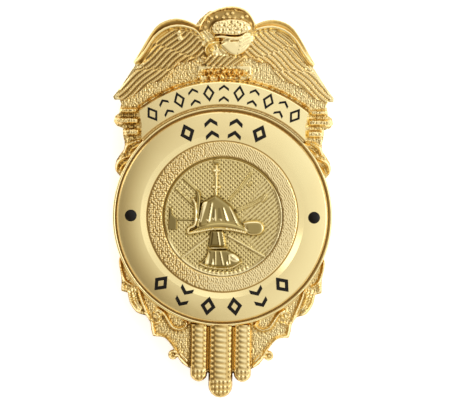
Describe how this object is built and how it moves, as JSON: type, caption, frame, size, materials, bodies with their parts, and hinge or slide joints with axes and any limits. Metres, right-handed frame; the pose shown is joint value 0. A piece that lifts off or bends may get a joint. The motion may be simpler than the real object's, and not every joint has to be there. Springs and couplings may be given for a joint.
{
  "type": "firefighter badge",
  "caption": "Breast badge with a spread eagle over a curved panel, a domed ring round a centre disc, scroll borders and ribbed columns.",
  "frame": {"origin": "under the middle of the badge's outline, on the surface that the clasp's feet rest on", "axes": "+X to the right seen from the front, +Y to the eagle's crest, +Z out of the face"},
  "size_m": [0.0444, 0.0784, 0.0083],
  "materials": {
    "struck_metal": "gold plated, bright relief over dull grounds",
    "polished_metal": "gold plated and polished",
    "enamel": "glossy black hard enamel",
    "clasp_metal": "plain plated, satin"
  },
  "bodies": {
    "root": {"body": "struck_metal", "eagle": "struck_metal", "banner": "polished_metal", "legend_ring": "polished_metal", "seal": "struck_metal", "banner_enamel": "enamel", "ring_enamel_top": "enamel", "ring_enamel_bottom": "enamel", "dot_left": "enamel", "dot_right": "enamel", "pin_clasp": "clasp_metal"}
  },
  "joints": []
}
